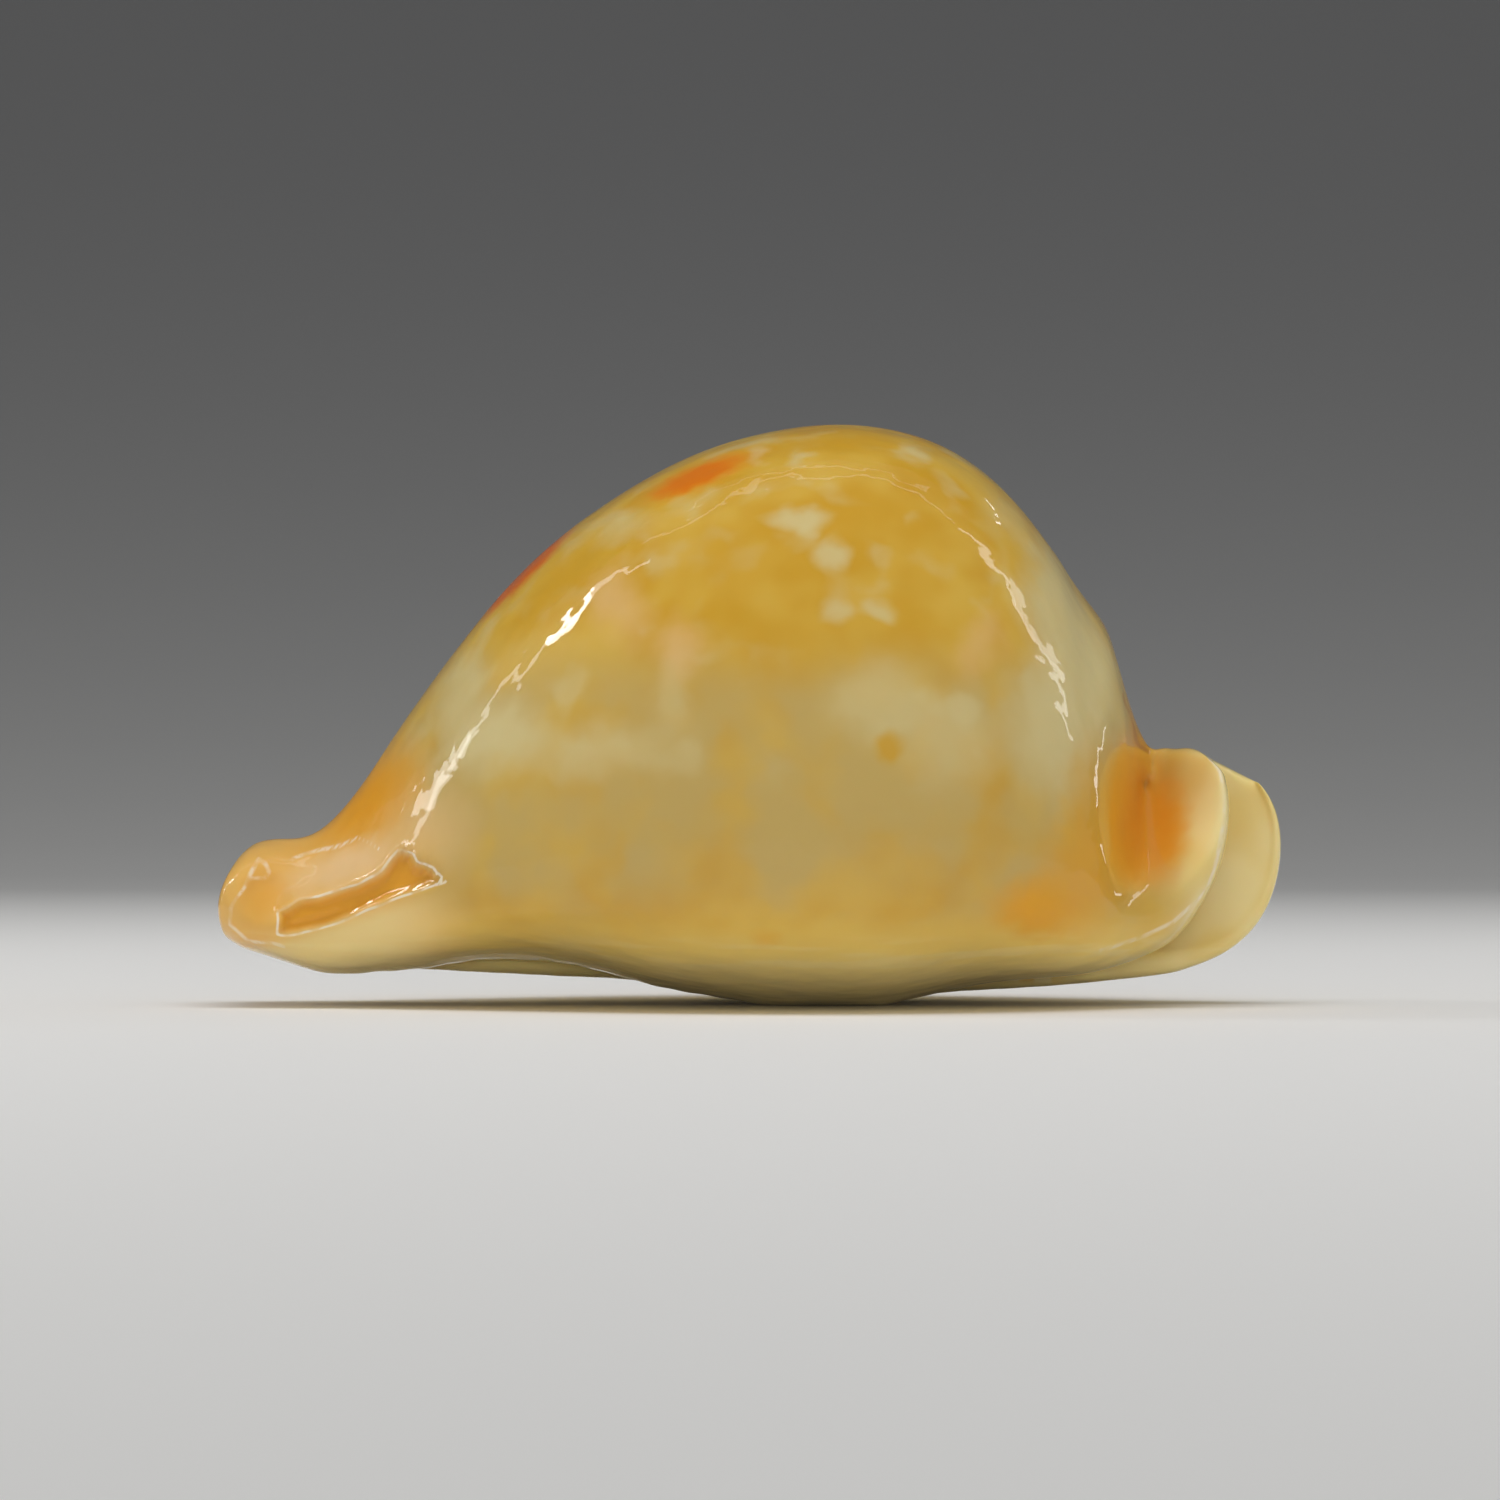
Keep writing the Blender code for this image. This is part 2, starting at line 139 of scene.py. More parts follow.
# Cream of the base, lighter than its own colour as painted fill light on the underside.
BASE_CREAM_AND_FILL = (0.98, 0.73, 0.20)
# Cream of the lips, flange, lobe and beak's margin, made lighter as painted fill light where they lie in
# shade.
LIP_CREAM_AND_FILL = (0.97, 0.80, 0.37)
LOBE_YELLOW = (0.90, 0.68, 0.23)
TOOTH_WHITE = (0.92, 0.82, 0.52)
# Painted highlight: the pale cream of the thin lines round the groove, on the beak's tip and on the
# flange's edge.
HIGHLIGHT_CREAM = (1.0, 0.88, 0.68)

# Cream clouds seen on the pit's side, a few partly painted highlight: centre, reach, strength.
CREAM_CLOUDS_AND_SHEENS = (
    ((3.9, -19.5, 41.3), (1.9, 4.0, 0.9), 0.85),
    ((6.4, -22.0, 38.3), (1.4, 4.0, 1.3), 0.85),
    ((6.8, -24.7, 33.5), (1.0, 4.0, 1.0), 0.7),
    ((10.1, -24.4, 33.6), (1.4, 4.0, 0.9), 0.7),
    ((13.7, -10.9, 47.1), (1.3, 4.0, 0.7), 0.7),
    ((0.6, -10.4, 47.4), (1.0, 3.0, 0.6), 0.7),
    ((4.2, -13.0, 46.8), (1.0, 3.0, 0.5), 0.6),
    ((10.5, -26.9, 26.0), (3.6, 6.0, 3.2), 0.6),
    ((16.3, -26.1, 23.0), (4.2, 7.0, 3.6), 0.6),
    # These four lie along a streak of light and are partly painted highlight.
    ((28.2, -12.0, 29.5), (4.4, 9.0, 7.2), 1.0),
    ((26.0, -12.0, 36.0), (3.2, 9.0, 4.6), 0.9),
    ((25.2, -20.0, 24.2), (3.4, 9.0, 5.6), 0.85),
    ((22.0, -12.0, 42.0), (2.6, 9.0, 2.2), 0.4),
    ((-21.4, -17.0, 22.8), (4.0, 8.0, 2.8), 0.9),
    ((-12.8, -23.8, 22.0), (4.5, 8.0, 2.2), 0.6),
    ((-25.0, -9.0, 27.0), (2.6, 8.0, 3.6), 0.7),
    ((-7.0, -25.1, 26.5), (1.6, 6.0, 3.2), 0.45),
    ((-12.5, -12.0, 41.2), (3.4, 6.0, 1.3), 0.55),
)
CLOUD_AND_SHEEN_SOFTNESS = 0.7

# Pink-cream patches: centre, reach, tilt in degrees, strength. The first three are painted reflections,
# soft sheens of the lights; the last is a blush on the beak.
BLUSHES_AND_SHEENS = (
    ((-11.6, -18.5, 34.6), (2.2, 6.0, 3.0), 25.0, 0.5),
    ((-6.6, -23.5, 30.6), (2.0, 6.0, 2.2), 30.0, 0.5),
    ((19.0, -20.0, 30.6), (1.6, 6.0, 2.6), -30.0, 0.4),
    ((-28.6, -12.0, 15.2), (4.2, 8.0, 3.2), 0.0, 0.55),
)
BLUSH_AND_SHEEN_SOFTNESS = 0.8

# Orange and ochre blotches: colour, centre, reach, tilt in degrees, softness, strength.
BLOTCHES = (
    (PATCH_ORANGE, (23.8, -21.4, 8.7), (3.4, 9.0, 2.2), 0.0, 0.7, 1.0),
    (PATCH_ORANGE, (28.2, -18.8, 11.6), (5.0, 10.0, 3.6), 42.0, 0.8, 0.8),
    (PATCH_ORANGE, (29.5, -16.0, 17.0), (3.0, 9.0, 4.5), 0.0, 0.9, 0.5),
    (PATCH_ORANGE, (1.0, -25.1, 6.2), (1.1, 6.0, 0.8), 0.0, 0.7, 0.35),
    (OCHRE, (11.2, -27.6, 22.2), (1.1, 5.0, 1.2), 0.0, 0.55, 0.85),
    (OCHRE, (2.2, -25.6, 31.0), (4.5, 6.0, 3.0), 0.0, 0.8, 0.6),
    (OCHRE, (-16.4, -12.3, 36.4), (4.4, 6.0, 2.4), 40.0, 0.8, 0.8),
    (OCHRE, (-1.1, -21.3, 37.9), (5.0, 6.0, 2.4), 0.0, 0.9, 0.5),
    (NECK_ORANGE, (-4.6, -10.4, 45.4), (5.0, 4.0, 1.5), 22.0, 0.6, 0.8),
    (DEEP_ORANGE, (-4.9, -10.6, 45.3), (3.8, 3.4, 1.1), 22.0, 0.5, 1.0),
    (RED_ORANGE, (-19.8, -2.6, 37.3), (5.2, 5.0, 1.5), 43.0, 0.35, 1.0),
    (NECK_ORANGE, (-33.0, -4.0, 17.6), (5.2, 9.0, 3.0), 38.0, 0.8, 0.95),
)

# The glaze: a soft body under a clear coat, and its ripples. Subsurface Scale and RIPPLE_DEPTH are
# in metres.
ENAMEL = {
    "Roughness": 0.34,
    "IOR": 1.45,
    "Specular IOR Level": 0.08,
    "Subsurface Weight": 0.12,
    "Subsurface Radius": (1.0, 0.45, 0.15),
    "Subsurface Scale": 0.0015,
    "Coat Weight": 0.8,
    "Coat Roughness": 0.035,
    "Coat IOR": 1.46,
}
LARGE_RIPPLE, SMALL_RIPPLE = 4.5, 1.6
SMALL_RIPPLE_SHARE = 0.17
RIPPLE_DEPTH = 0.00020

# Camera at the photograph's viewing angle. From here on sizes are in metres.
LENS = 200.0
SENSOR = 36.0
CAMERA_AWAY = 0.72
CAMERA_AIM = Vector((-0.00035, 0.0, 0.022))

# Studio.
FLOOR_DROP = 0.00003
FLOOR_HALF = 2.4
BACKDROP_AT = 1.3
BACKDROP_TOP = 2.2
SWEEP = 0.7
FLOOR_COLOUR = (0.89, 0.88, 0.86)
SWEEP_COLOUR = (0.16, 0.16, 0.16)
DARKENS_FROM_MM, DARKENS_TO_MM = 150.0, 1100.0
EDGE_SLACK = 0.01
ROOM_LIGHT = (0.98, 0.99, 1.0)
ROOM_BEHIND, ROOM_IN_FRONT = 0.26, 0.40
ROOM_TURN = (-0.55, 0.35)
ROOM_HORIZON, HORIZON_UP_TO = 1.1, 0.6

# Narrow strips and lamps that draw the streaks: name, place, height aimed at, width, height, glow.
STREAK_LIGHTS = (
    ("edge_left", (-0.56, 0.155, 0.34), 0.03, 0.032, 0.66, 4.2),
    ("edge_right", (0.55, 0.196, 0.39), 0.03, 0.026, 0.515, 4.2),
    ("edge_top", (0.0, 0.25, 0.78), 0.03, 1.0, 0.020, 1.5),
    ("second_top", (0.0, 0.32, 0.74), 0.03, 0.7, 0.012, 1.2),
    ("edge_pit", (0.63, 0.40, 0.105), 0.02, 0.020, 0.06, 4.5),
    ("lamp_rear", (0.45, 0.54, 0.50), 0.03, 0.07, 0.016, 6.0),
    ("lamp_neck", (-0.555, 0.155, 0.245), 0.02, 0.095, 0.045, 5.0),
    ("lamp_left", (-0.50, 0.125, 0.43), 0.03, 0.050, 0.10, 16.0),
    ("lamp_right", (0.52, 0.215, 0.30), 0.03, 0.040, 0.13, 3.0),
)


def deselect_all():
    if bpy.context.mode != "OBJECT":
        bpy.ops.object.mode_set(mode="OBJECT")
    bpy.ops.object.select_all(action="DESELECT")


def take_up(piece):
    deselect_all()
    piece.select_set(True)
    bpy.context.view_layer.objects.active = piece


# The shell's shape


def points_of(mesh, what="co"):
    flat = np.zeros(len(mesh.vertices) * 3, np.float32)
    mesh.vertices.foreach_get(what, flat)
    return flat.reshape(-1, 3).astype(float)


def set_points(mesh, points):
    mesh.vertices.foreach_set("co", points.astype(np.float32).ravel())
    mesh.update()


def merged_copy(node):
    """A copy of the solid's skin with its loose triangles joined to four-sided faces."""
    body = bpy.data.objects.new("cowrie_shell", node.data.copy())
    bpy.context.scene.collection.objects.link(body)
    body.data.materials.clear()
    take_up(body)
    bpy.ops.object.mode_set(mode="EDIT")
    bpy.ops.mesh.select_all(action="SELECT")
    bpy.ops.mesh.remove_doubles(threshold=MERGE_GAP)
    bpy.ops.mesh.tris_convert_to_quads(
        face_threshold=math.pi, shape_threshold=math.pi, topology_influence=2.0,
    )
    bpy.ops.object.mode_set(mode="OBJECT")
    return body


def step(start, end, value):
    """0 before start, 1 after end, smooth between them."""
    t = np.clip((value - start) / (end - start), 0.0, 1.0)
    return t * t * (3 - 2 * t)


def tooth_share(p):
    """1 on the slot's edges, where the teeth are, and 0 away from them. p is in millimetres."""
    x, y, z = p.T
    beside = 1 - step(4.0, 6.5, abs(y - SLOT_MIDDLE))
    share = beside * (1 - step(5.0, 7.5, z)) * step(-40.0, -37.0, x) * (1 - step(29.0, 31.0, x))
    shown_above = np.interp(x, *zip(*NEAR_LIP_LINE))
    smooth_lip = (1 - step(shown_above + 0.2, shown_above + 1.3, z)) * (y > SLOT_MIDDLE)
    return share * (1 - SMOOTH_WHERE_SHOWN * smooth_lip)


def rim_share(p):
    """1 on the thin rims at both ends, which smoothing would wear down, and less on the far lobe."""
    x, y = p[:, 0], p[:, 1]
    near_side = FAR_LOBE_HELD + (1 - FAR_LOBE_HELD) * (1 - step(-1.0, 1.0, y))
    return np.maximum(step(36.0, 41.0, x) * near_side, 1 - step(-44.0, -42.0, x))


def smoothed_points(body, count):
    """Where the body's own points end up once it is smoothed."""
    modifier = body.modifiers.new("smooth", "SUBSURF")
    modifier.levels = SMOOTH_LEVELS
    modifier.render_levels = SMOOTH_LEVELS
    seen = body.evaluated_get(bpy.context.evaluated_depsgraph_get())
    mesh = seen.to_mesh()
    points = points_of(mesh)[:count]
    seen.to_mesh_clear()
    body.modifiers.remove(modifier)
    return points


def smooth_through_solid(body):
    """Smooths the skin. At the teeth and the rims it still passes through the solid's points."""
    wanted = points_of(body.data)
    held = wanted.copy()
    share = np.maximum(TEETH_HELD * tooth_share(wanted / MM), RIMS_HELD * rim_share(wanted / MM))[:, None]
    for _ in range(FIT_ROUNDS):
        held += share * (wanted - smoothed_points(body, len(wanted)))
        set_points(body.data, held)
    take_up(body)
    modifier = body.modifiers.new("smooth", "SUBSURF")
    modifier.levels = SMOOTH_LEVELS
    modifier.render_levels = SMOOTH_LEVELS
    bpy.ops.object.modifier_apply(modifier="smooth")


def polish(body):
    """Evens out what the solid's rings leave, least at teeth and rims, longest on far lobe and pit."""
    mesh = body.data
    points = points_of(mesh)
    ends = np.zeros(len(mesh.edges) * 2, np.int32)
    mesh.edges.foreach_get("vertices", ends)
    a, b = ends.reshape(-1, 2).T
    count = len(points)
    near = np.bincount(a, minlength=count) + np.bincount(b, minlength=count)
    p = points / MM
    x, y, z = p.T
    share = (1 - tooth_share(p)) * (1 - RIMS_SPARED * rim_share(p))
    share *= np.clip(1 - step(14.0, 22.0, z) + step(26.0, 29.0, x) + LEAST_POLISH, 0.0, 1.0)
    far_lobe = step(36.0, 39.0, x) * step(-1.0, 1.0, y)
    pit = step(26.0, 28.0, x) * (1 - step(35.0, 37.0, x)) * (y < 0) * step(7.0, 9.0, z)
    for turn in range(LONG_POLISH * POLISH_ROUNDS):
        if turn == POLISH_ROUNDS:
            share *= far_lobe + pit
        total = np.zeros_like(points)
        for axis in range(3):
            total[:, axis] = np.bincount(a, points[b, axis], count) + np.bincount(b, points[a, axis], count)
        points += POLISH_STEP * share[:, None] * (total / near[:, None] - points)
    set_points(mesh, points)


def skin_sides(body):
    """The skin's points, their x and z in millimetres, the side each lies on, and 1 for the outer skin."""
    points = points_of(body.data)
    normals = points_of(body.data, "normal")
    x, y, z = (points / MM).T
    side = np.sign(y - SOLID_SHIFT[1])
    outside = (normals[:, 1] * side > -0.05).astype(float)
    return points, x, z, side, outside


def lift_solid_groove(body):
    """Takes the beak's groove, which the solid has in coarse steps, back out of the skin."""
    points, x, z, side, outside = skin_sides(body)
    x = x - SOLID_SHIFT[0]
    (x0, z0), (x1, z1) = GROOVE_FROM, GROOVE_TO
    over = z - (z0 + (x - x0) * (z1 - z0) / (x1 - x0))
    hollow = GROOVE_DEPTH * np.exp(-((over / GROOVE_HALF_HEIGHT) ** 2))
    brow = GROOVE_BROW * np.exp(-(((over - GROOVE_BROW_OVER) / GROOVE_HALF_HEIGHT) ** 2))
    along = step(x0 + GROOVE_START[0], x0 + GROOVE_START[1], x)
    along *= 1 - step(x1 - GROOVE_FADE, x1 + GROOVE_FADE, x)
    points[:, 1] -= MM * side * outside * along * (brow - hollow)
    set_points(body.data, points)


def gap_to(x, z, line):
    """How far each point is from a line of straight pieces."""
    nearest = np.full(len(x), 1e9)
    for (ax, az), (bx, bz) in zip(line, line[1:]):
        share = ((x - ax) * (bx - ax) + (z - az) * (bz - az)) / ((bx - ax) ** 2 + (bz - az) ** 2)
        share = np.clip(share, 0.0, 1.0)
        nearest = np.minimum(nearest, np.hypot(x - ax - share * (bx - ax), z - az - share * (bz - az)))
    return nearest


def inside_edge(x, z, edge):
    """How far inside a closed line each point lies; below 0 outside it."""
    inside = np.zeros(len(x), bool)
    for (ax, az), (bx, bz) in zip(edge, edge[1:] + edge[:1]):
        if az != bz:
            crosses = (az > z) != (bz > z)
            inside ^= crosses & (x < (bx - ax) * (z - az) / (bz - az) + ax)
    nearest = gap_to(x, z, edge + edge[:1])
    return np.where(inside, nearest, -nearest)


def uneven_places(x, z, where):
    """The places shifted a little this way and that, so that what is drawn by them isn't ruled."""
    noise.seed_set(UNEVEN_SEED)
    jitter = np.zeros((len(x), 3))
    for i in np.nonzero(where)[0]:
        jitter[i] = noise.noise_vector(Vector((x[i], 0.0, z[i])) / UNEVEN_OVER)
    return x + UNEVEN_BY * jitter[:, 0], z + UNEVEN_BY * jitter[:, 2]


def mark_points(body, name, numbers):
    marked = body.data.attributes.new(name, "FLOAT", "POINT")
    marked.data.foreach_set("value", numbers.astype(np.float32))


def raise_lines(body):
    """Raises the thin lines at both ends, which carry painted highlights, and presses in the rear seam,
    which carries painted shade.
    """
    points, x, z, side, outside = skin_sides(body)
    on_beak, on_rear = x < BEAK_LINES_BEFORE, x > REAR_LINES_AFTER
    ux, uz = uneven_places(x, z, on_beak & (z < BEAK_TOP) | on_rear & (z < SEAM_TOP))
    beak = np.minimum(gap_to(ux, uz, TIP_ARC), gap_to(ux, uz, TIP_LOOP))
    beak = np.minimum(beak, gap_to(ux, uz, BROW_LINE))
    beak = np.where((outside > 0) & on_beak, beak, NO_LINE_NEAR)
    near = (side < 0) & (outside > 0) & on_rear
    flange = np.where(near, gap_to(x, z, FLANGE_LINE), NO_LINE_NEAR)
    facing = points_of(body.data, "normal")[:, 1] * side
    turned_away = 1 - step(0.05, 0.22, facing)
    seam = np.where(near, gap_to(ux, z, SEAM_LINE) + SEAM_FADE * turned_away, NO_LINE_NEAR)
    raised = np.exp(-((beak / LINE_REACH) ** 2)) - np.exp(-((seam / LINE_REACH) ** 2))
    points[:, 1] += MM * side * LINE_RAISE * raised
    set_points(body.data, points)
    # How far each point lies from the painted highlight lines, and from the seam's painted shade line.
    mark_points(body, "highlight_line_gap", np.minimum(beak, flange))
    mark_points(body, "seam_shade_gap", seam)


def press_crisp_groove(body):
    """Presses the groove in again with a flat floor and crisp uneven edges, and the tip's hollow cheek."""
    points, x, z, side, outside = skin_sides(body)
    on_beak = (x < BEAK_LINES_BEFORE) & (z < BEAK_TOP)
    depth_in = inside_edge(*uneven_places(x, z, on_beak), GROOVE_EDGE)
    depth_in = np.where(outside > 0, depth_in, -NO_LINE_NEAR)
    hollow = CRISP_DEPTH * step(-0.15, GROOVE_WALL, depth_in)
    (x0, z0), (x1, z1) = MIDDLE_FROM, MIDDLE_TO
    span = math.hypot(x1 - x0, z1 - z0)
    along = ((x - x0) * (x1 - x0) + (z - z0) * (z1 - z0)) / span
    over = ((z - z0) * (x1 - x0) - (x - x0) * (z1 - z0)) / span
    wide = WIDE_DEPTH * np.exp(-((over / WIDE_REACH) ** 2)) * step(-2.5, 2.0, along)
    wide *= 1 - step(span - 4, span + 3, along)
    brow = CRISP_BROW * np.exp(-(((over - BROW_OVER) / BROW_REACH) ** 2)) * step(-2, 3, along)
    brow *= 1 - step(span - 6, span, along)
    off = ((x - CHEEK_AT[0]) / CHEEK_REACH[0]) ** 2 + ((z - CHEEK_AT[1]) / CHEEK_REACH[1]) ** 2
    cheek = CHEEK_DEPTH * np.exp(-(off ** 2))
    points[:, 1] += MM * side * outside * (brow - hollow - wide - cheek)
    set_points(body.data, points)
    mark_points(body, "groove", depth_in)


def wave_skin(body):
    """Presses faint waves into the skin, so that the light's reflections wander as on a grown shell."""
    mesh = body.data
    points = points_of(mesh)
    normals = points_of(mesh, "normal")
    depth = np.zeros(len(points))
    for size, most in zip(WAVE_SIZES, WAVE_DEPTHS):
        for i, p in enumerate(points):
            depth[i] += most * (noise.noise(Vector(p) / (size * MM)) - WAVE_INWARDS)
    points += normals * (depth * MM)[:, None]
    set_points(mesh, points)


def keep_in_box(body):
    low, high = (np.array(v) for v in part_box("shell"))
    set_points(body.data, np.clip(points_of(body.data), low, high))


# The glaze


class Glaze:
    """One node material. Places and sizes in it are in millimetres."""

    def __init__(self, name):
        self.material = bpy.data.materials.new(name)
        self.material.use_nodes = True
        self.nodes = self.material.node_tree.nodes
        self.links = self.material.node_tree.links
        self.shader = self.nodes["Principled BSDF"]
        place = self.nodes.new("ShaderNodeTexCoord")
        self.place = self.vector("SCALE", place.outputs["Object"], scale=1000.0)
        parts = self.nodes.new("ShaderNodeSeparateXYZ")
        self.links.new(self.place, parts.inputs[0])
        self.x, self.y, self.z = parts.outputs

    def plug(self, socket, value):
        if isinstance(value, bpy.types.NodeSocket):
            self.links.new(value, socket)
        else:
            socket.default_value = value

    def vector(self, kind, a, b=None, scale=None):
        node = self.nodes.new("ShaderNodeVectorMath")
        node.operation = kind
        self.plug(node.inputs[0], a)
        if b is not None:
            self.plug(node.inputs[1], b)
        if scale is not None:
            self.plug(node.inputs["Scale"], scale)
        return node.outputs["Value"] if kind == "LENGTH" else node.outputs["Vector"]

    def sum(self, kind, a, b=0.5, c=None):
        node = self.nodes.new("ShaderNodeMath")
        node.operation = kind
        self.plug(node.inputs[0], a)
        self.plug(node.inputs[1], b)
        if c is not None:
            self.plug(node.inputs[2], c)
        return node.outputs[0]

    def cloud(self, size, detail=2.0, rough=0.5, place=None, seed=0.0, colour=False):
        node = self.nodes.new("ShaderNodeTexNoise")
        node.noise_dimensions = "3D"
        where = place if place is not None else self.place
        if seed:
            where = self.vector("ADD", where, (seed, seed * 0.7, -seed * 1.3))
        self.plug(node.inputs["Vector"], where)
        self.plug(node.inputs["Scale"], 1.0 / size)
        self.plug(node.inputs["Detail"], detail)
        self.plug(node.inputs["Roughness"], rough)
        return node.outputs["Color"] if colour else node.outputs["Fac"]

    def fade(self, value, start, end, least=0.0, most=1.0):
        """least where value is at start, most where it is at end, smooth between them."""
        node = self.nodes.new("ShaderNodeMapRange")
        node.interpolation_type = "SMOOTHSTEP"
        node.clamp = True
        self.plug(node.inputs["Value"], value)
        if start < end:
            marks = (start, end, least, most)
        else:
            marks = (end, start, most, least)
        for name, number in zip(("From Min", "From Max", "To Min", "To Max"), marks):
            self.plug(node.inputs[name], number)
        return node.outputs["Result"]

    def attribute(self, name):
        """A number that the mesh carries at each point."""
        node = self.nodes.new("ShaderNodeAttribute")
        node.attribute_name = name
        return node.outputs["Fac"]

    def over(self, under, colour, share):
        """colour laid over another one, as thickly as share says."""
        node = self.nodes.new("ShaderNodeMix")
        node.data_type = "RGBA"
        self.plug(node.inputs["Factor"], share)
        self.plug(node.inputs[6], under if isinstance(under, bpy.types.NodeSocket) else (*under, 1.0))
        self.plug(node.inputs[7], colour if isinstance(colour, bpy.types.NodeSocket) else (*colour, 1.0))
        return node.outputs[2]

    def spot(self, centre, reach, tilt=0.0, soft=0.45, strength=1.0, place=None):
        """1 inside an egg round a place, falling to 0 outside it. tilt turns it about the width's axis."""
        node = self.nodes.new("ShaderNodeMapping")
        node.vector_type = "TEXTURE"
        self.plug(node.inputs["Vector"], place if place is not None else self.wandering)
        node.inputs["Location"].default_value = centre
        node.inputs["Rotation"].default_value = (0.0, math.radians(-tilt), 0.0)
        node.inputs["Scale"].default_value = reach
        away = self.vector("LENGTH", node.outputs["Vector"])
        return self.fade(away, 1.0 + soft, 1.0 - soft, 0.0, strength)

    def wander(self, far, near):
        """Gives spots uneven edges: their place is read through a large and a small cloud."""
        big = self.vector("SUBTRACT", self.cloud(5.0, 1.0, colour=True), (0.5, 0.5, 0.5))
        small = self.vector("SUBTRACT", self.cloud(1.7, 1.0, seed=7.0, colour=True), (0.5, 0.5, 0.5))
        moved = self.vector("ADD", self.place, self.vector("SCALE", big, scale=far))
        self.wandering = self.vector("ADD", moved, self.vector("SCALE", small, scale=near))
        self.quiver = self.vector("ADD", self.place, self.vector("SCALE", small, scale=near))


def body_colour(g):
    """Ochre mottled with paler ochre, and a grey-cream veil along the middle of each side."""
    broad = g.cloud(10.0, 2.0, 0.5, seed=3.0)
    fine = g.cloud(4.2, 1.0, 0.4, seed=11.0)
    tone = g.sum("MULTIPLY_ADD", fine, 0.4, g.sum("MULTIPLY", broad, 0.6))
    colour = g.over(OCHRE, PALE_OCHRE, g.fade(tone, 0.38, 0.64))
    above = g.fade(g.z, 33.0, 25.0)
    below = g.fade(g.z, 4.0, 12.0)
    patchy = g.fade(g.cloud(7.0, 1.5, 0.5, place=g.wandering, seed=21.0), 0.32, 0.64, 0.35, 0.95)
    veil = g.sum("MULTIPLY", g.sum("MULTIPLY", above, below), patchy)
    return g.over(colour, VEIL_CREAM, veil)


def pale_clouds(g, colour):
    """Small cream clouds, scattered ones and the ones seen on the pit's side, a few partly painted
    highlight, and pink patches, mostly painted reflections.
    """
    scattered = g.fade(g.cloud(4.2, 1.0, 0.4, place=g.wandering, seed=31.0), 0.52, 0.80, 0.0, 0.5)
    upper = g.fade(g.z, 15.0, 24.0)
    colour = g.over(colour, CLOUD_AND_SHEEN_CREAM, g.sum("MULTIPLY", scattered, upper))
    for centre, reach, strength in CREAM_CLOUDS_AND_SHEENS:
        colour = g.over(colour, CLOUD_AND_SHEEN_CREAM, g.spot(centre, reach, 0.0, CLOUD_AND_SHEEN_SOFTNESS, strength))
    for centre, reach, tilt, strength in BLUSHES_AND_SHEENS:
        # Painted reflections, soft sheens of the lights, and one blush on the beak.
        colour = g.over(colour, BLUSH_AND_SHEEN, g.spot(centre, reach, tilt, BLUSH_AND_SHEEN_SOFTNESS, strength))
    return colour


def warm_ends(g, colour):
    """The glaze turns apricot along the beak."""
    # Painted fill light: lighter cream low down, where the underside gets little light.
    under = g.fade(g.z, 9.5, 3.5)
    colour = g.over(colour, BASE_CREAM_AND_FILL, under)
    beak = g.fade(g.sum("MULTIPLY_ADD", g.z, 0.35, g.x), -20.0, -30.0, 0.0, 0.9)
    colour = g.over(colour, APRICOT, beak)
    (x0, z0), (x1, z1) = GROOVE_EDGE[-1], GROOVE_EDGE[-5]
    slope = (z1 - z0) / (x1 - x0)
    over_groove = g.sum("SUBTRACT", g.z, g.sum("MULTIPLY_ADD", g.x, slope, z0 - slope * x0))
    # The lips' cream below the beak's groove, lighter as painted fill light.
    return g.over(colour, LIP_CREAM_AND_FILL, g.sum("MULTIPLY", g.fade(over_groove, 0.3, -1.8, 0.0, 0.8), beak))


def orange_marks(g, colour):
    """The orange and ochre blotches."""
    for orange, centre, reach, tilt, soft, strength in BLOTCHES:
        colour = g.over(colour, orange, g.spot(centre, reach, tilt, soft, strength, place=g.quiver))
    return colour


def rear_end(g, colour):
    """Cream flange and lobe, lighter as painted fill light, and the deep orange pit between flange and
    body.
    """
    past = g.fade(g.sum("MULTIPLY_ADD", g.z, -0.10, g.x), 33.0, 38.0)
    patches = g.fade(g.cloud(6.0, 1.0, 0.4, seed=43.0), 0.35, 0.70)
    colour = g.over(colour, g.over(LIP_CREAM_AND_FILL, LOBE_YELLOW, patches), past)
    pit = g.spot((31.3, -6.0, 16.4), (5.3, 8.0, 6.8), -4.0, 0.32, 1.0, place=g.quiver)
    colour = g.over(colour, PIT_ORANGE, pit)
    deep = g.spot((34.0, -4.0, 15.0), (2.6, 6.0, 5.0), 0.0, 0.6, 0.85, place=g.quiver)
    colour = g.over(colour, PIT_BROWN, deep)
    low = g.spot((31.0, -7.0, 13.0), (2.2, 6.0, 3.4), 0.0, 0.6, 0.95, place=g.quiver)
    colour = g.over(colour, PIT_BROWN, low)
    beside_seam = g.spot((33.2, -1.5, 24.0), (1.2, 5.0, 3.6), 20.0, 0.5, 0.8, place=g.place)
    colour = g.over(colour, PATCH_ORANGE, beside_seam)
    # Painted shade: a dark brown line along the rear seam.
    return g.over(colour, SEAM_SHADE_BROWN, g.fade(g.attribute("seam_shade_gap"), 0.28, 0.05, 0.0, 0.7))


